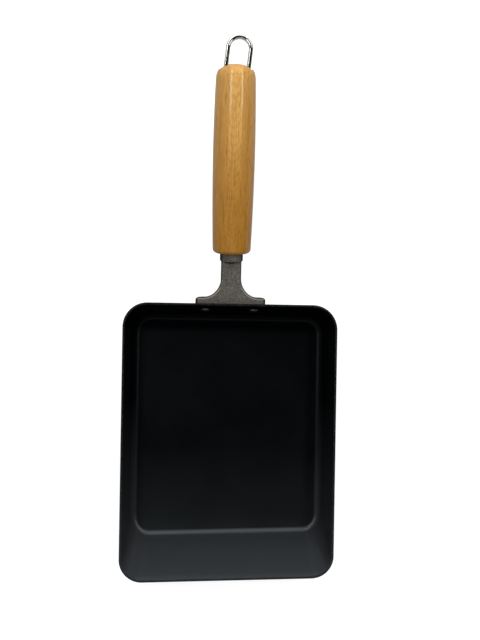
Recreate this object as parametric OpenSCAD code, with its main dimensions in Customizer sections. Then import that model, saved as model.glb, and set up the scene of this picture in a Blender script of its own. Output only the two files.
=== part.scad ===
// Rectangular omelette pan. A pressed iron pan carries a cast bracket on two rivets,
// and a long rod clamps a turned wooden handle to the bracket. A flat wire loop hangs
// from the cross-drilled head of that rod, inside a slot in the handle's end.
// The pan stands on z = 0 with the origin at the centre of its flat base.
// The handle points along +Y, and the pouring side is towards -Y.

/* [Pan] */
// Length of the flat base, front to back
base_l = 150; // [110:1:200]
// Width of the flat base
base_w = 127.5; // [100:0.5:170]
// How far the rim stands out past the base at each side
side_reach = 12.25; // [10:0.25:25]
// How far the rim stands out past the base at the handle
back_reach = 13; // [10:0.5:25]
// How far the rim stands out past the base at the pouring side
front_reach = 33; // [20:0.5:50]
// Height of the rim above the base
pan_h = 33; // [28:0.5:50]
// Thickness of the iron sheet
sheet = 1.6; // [1:0.1:3]
// Inside radius of the bend between floor and walls
bend_r = 6; // [2:0.5:8]
// Corner radius of the flat base
base_corner_r = 8.5; // [3:0.5:15]
// Corner radius of the rim at the handle
rim_back_r = 17.5; // [10:0.5:30]
// Corner radius of the rim at the pouring side
rim_front_r = 16; // [10:0.5:30]
// Degrees by which the pouring side runs out of square
front_skew = 1.8; // [-3:0.1:3]

/* [Bracket] */
// Width of the flange that is riveted to the wall
flange_w = 49.6; // [44:0.2:70]
// Thickness of the flange
flange_t = 5.3; // [4:0.1:8]
// Height of the flange below the rivets
flange_below = 9.5; // [7:0.5:10]
// Radius on the flange's corners, seen from behind the pan
flange_corner_r = 3; // [1:0.5:5]
// Radius on the flange's upright rear edges
flange_edge_r = 1.5; // [0.5:0.25:3]
// Width of the neck
neck_w = 14.2; // [10:0.2:16]
// Thickness of the neck
neck_t = 10.4; // [8:0.2:13]
// Radius of the hollows between neck and flange, seen from above
neck_fillet_r = 12.8; // [6:0.2:14]
// Radius of the hollow under the neck
neck_under_r = 7; // [3:0.5:9]
// Diameter of the round collar that the handle seats on
collar_d = 16.3; // [14:0.1:22]
// Length of the collar
collar_l = 5.6; // [3:0.2:10]
// Diameter of the spigot inside the handle
spigot_d = 10; // [8:0.5:12]
// Length of the spigot
spigot_l = 14; // [8:1:30]

/* [Rivets] */
// Distance from a rivet's centre to the nearer end of the flange
rivet_inset = 7.3; // [6:0.1:9]
// Height of the rivets above the base
rivet_z = 17; // [16.5:0.5:19]
// Shank diameter of a rivet
rivet_d = 6; // [4:0.5:7]
// Diameter of a rivet's outer head
rivet_outer_d = 8.6; // [8:0.2:10]
// Height of a rivet's outer head
rivet_outer_h = 2.2; // [1.2:0.1:3]
// Diameter of a rivet's head inside the pan
rivet_inner_d = 8; // [7.4:0.2:10]
// Height of a rivet's head inside the pan
rivet_inner_h = 1.4; // [1:0.1:3]

/* [Handle] */
// Length of the wooden handle
wood_l = 131.2; // [90:0.2:180]
// Greatest width of the handle
wood_w = 29.3; // [28:0.1:34]
// Greatest thickness of the handle
wood_t = 26; // [25:0.1:32]
// How much narrower the handle is at both ends
wood_taper = 2.6; // [0:0.1:3]
// Distance of the greatest width from the pan end of the handle
wood_belly = 70; // [40:1:90]
// Rounding of the pan end of the handle
wood_front_r = 2.8; // [1:0.2:5]
// Length over which the free end of the handle is rounded
wood_end_l = 12; // [7:0.2:14]
// Fullness of that round: 2 is an ellipse, more is squarer
wood_end_full = 2.9; // [2:0.1:4]
// Corner radius of the slot for the loop
slot_corner_r = 2.6; // [1:0.2:3.4]
// Upward tilt of the handle
handle_tilt = 13; // [8:0.5:18]
// Distance from the rim to the pan end of the handle
handle_gap = 36; // [32:0.5:60]
// Height of the handle's centre line at its pan end
handle_z = 31.5; // [29:0.5:33]

/* [Rod] */
// Diameter of the rod through the handle
rod_d = 5; // [4:0.5:6]
// Depth of the rod's thread inside the collar
rod_grip = 4; // [1:0.5:5]
// Diameter of the rod's head
rod_head_d = 9; // [7.5:0.5:10]
// Length of the rod's head
rod_head_l = 9; // [7:0.5:10]
// Thickness of the washer under the head
washer_t = 1.2; // [0.6:0.2:2]
// Diameter of the washer
washer_d = 10; // [9.4:0.1:10.2]

/* [Loop] */
// Outside width of the loop
loop_w = 18.9; // [16:0.1:20]
// Distance from the loop's pins to its outermost point
loop_reach = 30.2; // [24:0.2:60]
// Thickness of the flat wire, in the plane of the loop
wire_t = 3.2; // [2.4:0.1:3.6]
// Width of the flat wire, across the plane of the loop
wire_w = 4.8; // [4.4:0.1:5.4]
// Diameter of the pins at the loop's ends
pin_d = 3.2; // [2:0.1:3.6]
// How far each pin reaches into the rod's head
pin_grip = 3.2; // [2:0.1:3.6]
// Sideways lean of the loop
loop_lean = 6; // [0:0.5:7]
// Depth of the pins inside the handle's end
pin_depth = 10; // [8:0.5:12]
// Degrees that the loop can swing from the handle's line, up or down
loop_swing = 14; // [13:0.5:16]

/* [Fits] */
// Radial clearance of the loop's pins in the rod's head
pin_clear = 0.05; // [0.02:0.01:0.1]
// Radial clearance of the rivets, the spigot and the rod in their seats
seat_clear = 0.05; // [0.02:0.01:0.2]
// Radial clearance of the rod along the handle's bore
bore_clear = 0.5; // [0.2:0.1:1]
// Gap between the loop and the slot at the end of its swing
stop_clear = 0.3; // [0.2:0.05:0.6]

/* [Hidden] */
$fn = 96;
iron = [0.13, 0.14, 0.15];
casting = [0.32, 0.30, 0.28];
steel = [0.72, 0.73, 0.74];
beech = [0.78, 0.57, 0.30];
// Steps along each bend and each corner of the pan, and around and along the handle
bend_steps = 6;
corner_steps = 9;
round_steps = 48;
end_steps = 8;
body_steps = 12;
// Degrees of the free end's round that are drawn: what is left lies inside the slot
end_turn = 84;
// A small overlap that lets a cut run past a face
past = 1;

// Pan: plan outlines of the flat base and of the rim's outer edge
rim_back_y = base_l / 2 + back_reach;
rim_front_y = -base_l / 2 - front_reach;
rim_half_w = base_w / 2 + side_reach;
outer_bend_r = min(bend_r + sheet, side_reach - past, back_reach - past, front_reach - past,
                   pan_h - past);
inner_bend_r = outer_bend_r - sheet;

// Lean of a wall from the floor, where its rim reaches out by the given distance
function wall_angle(reach) =
    let (rise = pan_h - outer_bend_r)
    atan2(rise, reach) + asin(outer_bend_r / norm([reach, rise]));

// Outward directions along one corner of a rounded outline, and the corner itself
function turns(from, to) =
    [for (i = [0 : corner_steps]) from + (to - from) * i / corner_steps];
function corner(centre, r, from, to) =
    [for (a = turns(from, to)) centre + r * [cos(a), sin(a)]];

// Centre of the round at a front corner, where the front edge is skewed
function front_centre(side, half_w, front_y, r) =
    let (x = side * (half_w - r))
    [x, front_y + x * tan(front_skew) + r / cos(front_skew)];

// Outline of four rounded corners, anticlockwise from the back right
function outline(half_w, back_y, front_y, back_r, front_r) = concat(
    corner([half_w - back_r, back_y - back_r], back_r, 0, 90),
    corner([back_r - half_w, back_y - back_r], back_r, 90, 180),
    corner(front_centre(-1, half_w, front_y, front_r), front_r, 180, 270 + front_skew),
    corner(front_centre(1, half_w, front_y, front_r), front_r, 270 + front_skew, 360));

base_edge = outline(base_w / 2, base_l / 2, -base_l / 2, base_corner_r, base_corner_r);
rim_edge = outline(rim_half_w, rim_back_y, rim_front_y, rim_back_r, rim_front_r);
edge_turns = concat(turns(0, 90), turns(90, 180), turns(180, 270 + front_skew),
                    turns(270 + front_skew, 360));
edge_count = len(base_edge);

// How far the rim stands out past the base at one place of the outline, square to it,
// and a point of the wall there: along the bend at radius r, or at the rim
function wall_reach(i) =
    (rim_edge[i] - base_edge[i]) * [cos(edge_turns[i]), sin(edge_turns[i])];
function wall_point(i, at) =
    base_edge[i] + at[0] * (rim_edge[i] - base_edge[i]) / wall_reach(i);
function bend_place(i, r, step) =
    let (a = wall_angle(wall_reach(i)) * step / bend_steps)
    [r * sin(a), outer_bend_r - r * cos(a)];
function rim_place(i, inset) =
    [wall_reach(i) - inset / sin(wall_angle(wall_reach(i))), pan_h];
function ring(places) = [for (i = [0 : edge_count - 1])
    let (p = wall_point(i, places[i])) [p[0], p[1], places[i][1]]];

function bend_ring(r, step) = ring([for (i = [0 : edge_count - 1]) bend_place(i, r, step)]);
function rim_ring(inset) = ring([for (i = [0 : edge_count - 1]) rim_place(i, inset)]);

// A closed skin over rings of equal length: the first and the last ring are capped
module skin(rings) {
    n = len(rings[0]);
    last = len(rings) - 1;
    polyhedron(
        points = [for (r = rings) each r],
        faces = concat(
            [[for (i = [0 : n - 1]) i]],
            [for (k = [0 : last - 1], i = [0 : n - 1])
                let (j = (i + 1) % n) each [[k * n + i, (k + 1) * n + i, k * n + j],
                                            [k * n + j, (k + 1) * n + i, (k + 1) * n + j]]],
            [[for (i = [n - 1 : -1 : 0]) last * n + i]]));
}

// Back wall: a flat frame on its outside, x along the wall, y up it and z out of the pan
back_lean = wall_angle(back_reach);
rivet_y = rim_back_y - (pan_h - rivet_z) / tan(back_lean);
wall_out = [0, sin(back_lean), -cos(back_lean)];

module on_back_wall() {
    translate([0, rivet_y, rivet_z]) rotate([back_lean, 0, 0]) mirror([0, 0, 1]) children();
}

// Handle frame: y along the handle from its pan end, z across its thickness
handle_y = rim_back_y + handle_gap;

module on_handle() {
    translate([0, handle_y, handle_z]) rotate([handle_tilt, 0, 0]) children();
}

// A cylinder along y, from one place to another
module along_y(d, from, to) {
    translate([0, from, 0]) rotate([-90, 0, 0]) cylinder(d = d, h = to - from);
}

rivet_x = flange_w / 2 - rivet_inset;

module at_rivets() {
    for (side = [-1, 1]) on_back_wall() translate([side * rivet_x, 0, 0]) children();
}

// Pan
module pan_body() {
    color(iron) difference() {
        skin(concat(
            [for (s = [0 : bend_steps]) bend_ring(outer_bend_r, s)],
            [rim_ring(0), rim_ring(sheet)],
            [for (s = [bend_steps : -1 : 0]) bend_ring(inner_bend_r, s)]));
        at_rivets() translate([0, 0, -sheet - past])
            cylinder(d = rivet_d + 2 * seat_clear, h = sheet + 2 * past);
    }
}

// A rectangle with rounded corners, centred on the origin
module rounded_rect(w, h, r) {
    square([w - 2 * r, h], center = true);
    square([w, h - 2 * r], center = true);
    for (x = [-1, 1], y = [-1, 1])
        translate([x * (w / 2 - r), y * (h / 2 - r)]) circle(r);
}

// Handle bracket
// Places of the handle frame seen in the wall frame, as [outwards, up the wall]
arm_rise = handle_tilt + 90 - back_lean;
arm_along = [cos(arm_rise), sin(arm_rise)];
arm_down = [sin(arm_rise), -cos(arm_rise)];
function wall_place(y, z) =
    let (d = [handle_y + y * cos(handle_tilt) - z * sin(handle_tilt) - rivet_y,
              handle_z + y * sin(handle_tilt) + z * cos(handle_tilt) - rivet_z])
    [d * [sin(back_lean), -cos(back_lean)], d * [cos(back_lean), sin(back_lean)]];
// The point of a line of the arm at one distance out of the wall
function on_arm(place, out) = place + arm_along * (out - place[0]) / arm_along[0];
arm_top = wall_place(-collar_l, neck_t / 2);
arm_bottom = wall_place(-collar_l, -neck_t / 2);
flare_out = flange_t + neck_fillet_r;
under_place = on_arm(arm_bottom, flange_t + neck_under_r * (1 - arm_down[0]));
under_centre = under_place + neck_under_r * arm_down;
spot_d = rivet_outer_d + 1;
// The flange's top runs on in the plane of the neck's top
flange_top = on_arm(arm_top, flange_t)[1];

module flange() {
    on_back_wall() intersection() {
        translate([0, (flange_top - flange_below) / 2, 0]) linear_extrude(flange_t)
            rounded_rect(flange_w, flange_top + flange_below, flange_corner_r);
        rotate([90, 0, 0]) linear_extrude(4 * flange_top, center = true)
            translate([0, flange_t / 2 - flange_edge_r])
                rounded_rect(flange_w, flange_t + 2 * flange_edge_r, flange_edge_r);
        rotate([0, -90, 0]) linear_extrude(2 * flange_w, center = true)
            polygon([[-past, -flange_below - past], [flange_t + past, -flange_below - past],
                     on_arm(arm_top, flange_t + past), on_arm(arm_top, -past)]);
    }
}

// Root of the neck seen from above: it widens into the flange in two hollows
module root_plan() {
    half = neck_w / 2 + neck_fillet_r;
    polygon(concat([[-half, flange_t / 2]],
                   corner([-half, flare_out], neck_fillet_r, -90, 0),
                   corner([half, flare_out], neck_fillet_r, 180, 270),
                   [[half, flange_t / 2]]));
}

// Root of the neck seen from the side: its own thickness, with a hollow under it
module root_side() {
    polygon(concat([[flange_t / 2, under_centre[1]],
                    on_arm(arm_top, flange_t / 2), on_arm(arm_top, flare_out),
                    on_arm(arm_bottom, flare_out)],
                   corner(under_centre, neck_under_r, 90 + arm_rise, 180)));
}

module neck() {
    on_back_wall() intersection() {
        rotate([90, 0, 0]) linear_extrude(8 * flange_top, center = true) root_plan();
        rotate([0, -90, 0]) linear_extrude(2 * flange_w, center = true) root_side();
    }
    start = arm_bottom - on_arm(arm_bottom, flange_t + neck_under_r);
    on_handle() translate([0, -collar_l / 2, 0]) rotate([90, 0, 0])
        linear_extrude(norm(start) + collar_l / 2) rounded_rect(neck_w, neck_t, neck_t / 4);
}

module handle_bracket() {
    color(casting) difference() {
        union() {
            flange();
            neck();
            on_handle() along_y(collar_d, -collar_l, 0);
            on_handle() along_y(spigot_d, 0, spigot_l);
        }
        at_rivets() translate([0, 0, -past])
            cylinder(d = rivet_d + 2 * seat_clear, h = flange_t + 2 * past);
        at_rivets() translate([0, 0, flange_t]) cylinder(d = spot_d, h = neck_fillet_r);
        on_handle() along_y(rod_d + 2 * seat_clear, -rod_grip - past, spigot_l + past);
    }
}

// Rivets
// A low domed head that stands on z = 0
module rivet_head(d, h) {
    dome_r = (pow(d / 2, 2) + pow(h, 2)) / (2 * h);
    rotate_extrude() intersection() {
        translate([0, h - dome_r]) circle(dome_r);
        square([d, h]);
    }
}

module rivet(side) {
    color(steel) on_back_wall() translate([side * rivet_x, 0, 0]) {
        translate([0, 0, -sheet]) cylinder(d = rivet_d, h = sheet + flange_t);
        translate([0, 0, -sheet]) mirror([0, 0, 1]) rivet_head(rivet_inner_d, rivet_inner_h);
        translate([0, 0, flange_t]) rivet_head(rivet_outer_d, rivet_outer_h);
    }
}

module rivet_left() { rivet(-1); }
module rivet_right() { rivet(1); }

// Handle
// Places of the loop's pins, of the slot in the handle's end and of what lies in it
pin_y = wood_l - pin_depth;
slot_y = pin_y - rod_head_l / 2 - washer_t;
leg_half = (loop_w - wire_t) / 2;
leg_x = leg_half / cos(loop_lean);
slot_half_w = leg_x + pin_depth * tan(loop_lean)
    + max(slot_corner_r, wire_t / 2 / cos(loop_lean) + stop_clear);
slot_half_h = pin_depth * tan(loop_swing) + wire_w / 2 / cos(loop_swing) + stop_clear;

// Half width that the swell leaves off at a place along the handle
function swell_loss(y) =
    let (reach = y < wood_belly ? wood_belly : wood_l - wood_belly)
    wood_taper / 2 * pow((y - wood_belly) / reach, 2);
// Places along the handle, each with what a round edge leaves off there and the share
// of the width that is left, as [y, loss, share]
wood_places = concat(
    [for (i = [0 : end_steps - 1]) let (a = 90 * i / end_steps)
        [wood_front_r * (1 - cos(a)), wood_front_r * (1 - sin(a)), 1]],
    [for (i = [0 : body_steps - 1])
        [wood_front_r + (wood_l - wood_end_l - wood_front_r) * i / body_steps, 0, 1]],
    [for (i = [0 : end_steps]) let (a = end_turn * i / end_steps)
        [wood_l - wood_end_l * (1 - pow(sin(a), 2 / wood_end_full)), 0,
         pow(cos(a), 2 / wood_end_full)]]);
function wood_ring(place) = [for (i = [0 : round_steps - 1])
    let (a = -360 * i / round_steps, loss = swell_loss(place[0]) + place[1])
    [(wood_w / 2 - loss) * place[2] * cos(a), place[0],
     (wood_t / 2 - loss) * place[2] * sin(a)]];

module wood_handle() {
    color(beech) on_handle() difference() {
        skin([for (place = wood_places) wood_ring(place)]);
        along_y(spigot_d + 2 * seat_clear, -past, spigot_l + past);
        along_y(rod_d + 2 * bore_clear, 0, wood_l);
        translate([0, slot_y, 0]) rotate([-90, 0, 0]) linear_extrude(wood_l - slot_y + past)
            rounded_rect(2 * slot_half_w, 2 * slot_half_h, slot_corner_r);
    }
}

// Rod and washer
module tie_rod() {
    color(steel) on_handle() difference() {
        union() {
            along_y(rod_d, -rod_grip, slot_y + washer_t + past);
            along_y(rod_head_d, slot_y + washer_t, slot_y + washer_t + rod_head_l);
        }
        translate([0, pin_y, 0]) rotate([0, 90, 0])
            cylinder(d = pin_d + 2 * pin_clear, h = 2 * rod_head_d, center = true);
    }
}

module rod_washer() {
    color(steel) on_handle() difference() {
        along_y(washer_d, slot_y, slot_y + washer_t);
        along_y(rod_d + 2 * seat_clear, slot_y - past, slot_y + washer_t + past);
    }
}

// Loop
loop_straight = (loop_reach - loop_w / 2) / cos(loop_lean);

// How far a leg runs past its pin
leg_tail = wire_w / 2;
wire_steps = 16;
loop_steps = 20;

// Section of the flat wire: thin along the first number and wide along the second
wire_section = [for (i = [0 : wire_steps - 1])
    let (a = -360 * (i + 0.5) / wire_steps, r = wire_t / 2 / cos(180 / wire_steps))
    [r * cos(a), r * sin(a) + sign(sin(a)) * (wire_w - wire_t) / 2]];
function wire_ring(centre, turn) = [for (p = wire_section)
    [centre[0] + p[0] * cos(turn), centre[1] + p[0] * sin(turn), p[1]]];
function leg_start(side) = [side * leg_half, side * leg_x * sin(loop_lean) - leg_tail];

// The flat wire, up the right leg, round the bend and down the left leg
module loop_wire() {
    skin(concat(
        [wire_ring(leg_start(1), 0)],
        [for (i = [0 : loop_steps]) let (a = 180 * i / loop_steps)
            wire_ring([0, loop_straight] + leg_half * [cos(a), sin(a)], a)],
        [wire_ring(leg_start(-1), 180)]));
}

// The pin that is turned inward at the end of a leg
module loop_pin(side) {
    tip = rod_head_d / 2 - pin_grip;
    translate([side * tip, 0, 0]) rotate([0, side * 90, 0]) cylinder(d = pin_d, h = leg_x - tip);
}

module hanging_loop() {
    color(steel) on_handle() translate([0, pin_y, 0]) rotate([-loop_swing, 0, 0]) {
        rotate([0, 0, -loop_lean]) loop_wire();
        for (side = [-1, 1]) loop_pin(side);
    }
}

pan_body();
handle_bracket();
rivet_left();
rivet_right();
wood_handle();
tie_rod();
rod_washer();
hanging_loop();
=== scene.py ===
"""Looks of a rectangular omelette pan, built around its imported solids.

Each piece is a surface worked out with numpy in millimetres and handed to Blender in
metres, in the frame of the solids: the origin is the centre of the flat base, Z is up,
the handle points along +Y and the pouring side is towards -Y.
"""

import logging
import math
from dataclasses import dataclass, field
from enum import Enum

import bpy
import numpy as np
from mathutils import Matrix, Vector


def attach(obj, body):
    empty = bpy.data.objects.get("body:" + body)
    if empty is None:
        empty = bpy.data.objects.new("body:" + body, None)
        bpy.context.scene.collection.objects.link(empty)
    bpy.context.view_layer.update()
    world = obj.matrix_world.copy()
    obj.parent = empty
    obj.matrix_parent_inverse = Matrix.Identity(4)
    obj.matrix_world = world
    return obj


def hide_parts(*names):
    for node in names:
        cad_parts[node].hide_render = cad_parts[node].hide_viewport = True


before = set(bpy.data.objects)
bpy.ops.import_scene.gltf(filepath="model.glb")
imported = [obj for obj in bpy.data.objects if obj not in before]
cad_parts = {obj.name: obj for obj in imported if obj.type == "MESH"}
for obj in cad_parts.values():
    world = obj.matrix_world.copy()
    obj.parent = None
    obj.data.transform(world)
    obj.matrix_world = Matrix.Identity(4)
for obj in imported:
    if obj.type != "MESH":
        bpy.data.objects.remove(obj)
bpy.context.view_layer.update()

MM = 0.001
LOG = logging.getLogger("omelette_pan")

Colour = tuple[float, float, float]
Place = tuple[float, float, float]


class Side(Enum):
    """A side of the pan, seen from above with the handle pointing away."""

    LEFT = -1
    RIGHT = 1


# Surfaces


def ring_quads(rings: int, around: int) -> np.ndarray:
    """Quads between neighbouring rings.

    Point i of ring k is vertex k * around + i. With rings that run anticlockwise, seen
    from the last one, the quads face outwards.

    Args:
        rings: number of rings.
        around: number of points in each ring.

    Returns:
        Array of vertex numbers, four to a row.
    """
    k = np.arange(rings - 1)[:, None] * around
    i = np.arange(around)[None, :]
    j = (i + 1) % around
    return np.stack([k + i, k + j, k + around + j, k + around + i], -1).reshape(-1, 4)


def skin(name: str, rings: np.ndarray) -> bpy.types.Mesh:
    """Closed mesh over a row of rings, each end closed at the middle of its ring.

    Args:
        name: name of the mesh.
        rings: array of shape (rings, around, 3), in millimetres.

    Returns:
        The mesh, in metres.
    """
    count, around, _ = rings.shape
    i = np.arange(around)
    j = (i + 1) % around
    first_pole, last_pole, last = count * around, count * around + 1, (count - 1) * around
    points = np.concatenate([rings.reshape(-1, 3), rings[[0, -1]].mean(1)])
    faces = ring_quads(count, around).tolist()
    faces += np.stack([np.full(around, first_pole), j, i], -1).tolist()
    faces += np.stack([np.full(around, last_pole), last + i, last + j], -1).tolist()
    mesh = bpy.data.meshes.new(name)
    mesh.from_pydata((points * MM).tolist(), [], faces)
    mesh.update()
    return mesh


def piece_of(mesh: bpy.types.Mesh, sharp: float = 40.0) -> bpy.types.Object:
    """Object at the origin that shows a mesh, smooth up to an angle.

    Args:
        mesh: the mesh, whose name the object takes.
        sharp: angle in degrees past which an edge shows as sharp.

    Returns:
        The object, linked to the scene.
    """
    mesh.polygons.foreach_set("use_smooth", np.ones(len(mesh.polygons), bool))
    mesh.set_sharp_from_angle(angle=math.radians(sharp))
    piece = bpy.data.objects.new(mesh.name, mesh)
    bpy.context.scene.collection.objects.link(piece)
    return piece


def cut(piece: bpy.types.Object, sharp: float, *cutters: bpy.types.Mesh) -> None:
    """Takes closed meshes away from a piece, and marks its sharp edges again.

    Args:
        piece: the object that is cut.
        sharp: angle in degrees past which an edge shows as sharp.
        cutters: meshes of what is taken away.
    """
    for mesh in cutters:
        cutter = piece_of(mesh)
        step = piece.modifiers.new("cut", "BOOLEAN")
        step.operation = "DIFFERENCE"
        step.solver = "EXACT"
        step.object = cutter
        bpy.context.view_layer.update()
        graph = bpy.context.evaluated_depsgraph_get()
        result = bpy.data.meshes.new_from_object(piece.evaluated_get(graph))
        old = piece.data
        piece.modifiers.clear()
        piece.data = result
        bpy.data.meshes.remove(old)
        result.name = piece.name
        bpy.data.objects.remove(cutter)
        bpy.data.meshes.remove(mesh)
    piece.data.set_sharp_from_angle(angle=math.radians(sharp))


def joined(name: str, meshes: list[bpy.types.Mesh]) -> bpy.types.Object:
    """One object of several closed meshes."""
    points: list[tuple[float, float, float]] = []
    faces: list[list[int]] = []
    for mesh in meshes:
        faces += [[len(points) + v for v in face.vertices] for face in mesh.polygons]
        points += [tuple(vertex.co) for vertex in mesh.vertices]
        bpy.data.meshes.remove(mesh)
    whole = bpy.data.meshes.new(name)
    whole.from_pydata(points, [], faces)
    whole.update()
    return piece_of(whole)


def arc(start: float, end: float, steps: int) -> np.ndarray:
    """Angles from start to end, in radians, given in degrees."""
    return np.radians(np.linspace(start, end, steps + 1))


def rounded_rings(half_w: np.ndarray, half_h: np.ndarray, radius: np.ndarray,
                  corner_steps: int = 8, side_steps: int = 4) -> np.ndarray:
    """Rectangles with rounded corners, all with the same number of points.

    Corner c has its centre at (+-(half_w - r), +-(half_h - r)) and points at
    centre + r (cos t, sin t). The straight sides are divided evenly.

    Args:
        half_w: half widths, one for each rectangle.
        half_h: half heights.
        radius: corner radii.
        corner_steps: steps along each corner.
        side_steps: steps along each side.

    Returns:
        Array of shape (rectangles, points, 2), anticlockwise from the right side.
    """
    signs = np.array([[1, 1], [-1, 1], [-1, -1], [1, -1]], float)
    turn = np.radians(90 * np.arange(4)[:, None]
                      + 90 * np.arange(corner_steps + 1)[None, :] / corner_steps)
    unit = np.stack([np.cos(turn), np.sin(turn)], -1)
    inner = np.stack([half_w - radius, half_h - radius], -1)
    centre = inner[:, None, :] * signs[None]
    corners = centre[:, :, None, :] + radius[:, None, None, None] * unit[None]
    ahead = np.roll(corners, -1, axis=1)[:, :, 0]
    share = (np.arange(1, side_steps) / side_steps)[None, None, :, None]
    sides = corners[:, :, -1][:, :, None] * (1 - share) + ahead[:, :, None] * share
    return np.concatenate([corners, sides], 2).reshape(len(half_w), -1, 2)


def circles(radii: np.ndarray, around: int) -> np.ndarray:
    """Circles r (cos t, sin t), anticlockwise, one for each radius."""
    turn = np.radians(360 * np.arange(around) / around)
    return radii[:, None, None] * np.stack([np.cos(turn), np.sin(turn)], -1)


def along_z(outlines: np.ndarray, z: np.ndarray) -> np.ndarray:
    """Rings that rise along z: outlines of (x, y), each with its place."""
    height = np.broadcast_to(z[:, None, None], (*outlines.shape[:2], 1))
    return np.concatenate([outlines, height], -1)


def along_y(outlines: np.ndarray, y: np.ndarray) -> np.ndarray:
    """Rings that advance along y: outlines of (x, z), each with its place.

    Seen from the far end x points left, so each outline is run the other way round.
    """
    x, z = np.moveaxis(outlines[:, ::-1], -1, 0)
    return np.stack([x, np.broadcast_to(y[:, None], x.shape), z], -1)


@dataclass(frozen=True)
class TiltedPlace:
    """A place on the centre plane of the pan, turned about the x axis.

    Attributes:
        y: its place along the pan.
        z: its height.
        tilt: angle in degrees by which its own y axis points up.
    """

    y: float
    z: float
    tilt: float

    @property
    def ahead(self) -> np.ndarray:
        """Direction of its own y axis, as (y, z)."""
        return np.array([math.cos(math.radians(self.tilt)), math.sin(math.radians(self.tilt))])

    def to_frame(self, points: np.ndarray) -> np.ndarray:
        """Takes points of this place to the shared frame."""
        c, s = self.ahead
        x, y, z = np.moveaxis(points, -1, 0)
        return np.stack([x, self.y + y * c - z * s, self.z + y * s + z * c], -1)

    def side_point(self, y: float, z: float) -> np.ndarray:
        """The same for one point of the centre plane, as (y, z)."""
        return self.to_frame(np.array([[0.0, y, z]]))[0, 1:]

    def to_place(self, point: np.ndarray) -> np.ndarray:
        """Takes a point (y, z) of the centre plane to this place's own (y, z)."""
        c, s = self.ahead
        y, z = point - np.array([self.y, self.z])
        return np.array([y * c + z * s, z * c - y * s])


# Finishes


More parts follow.
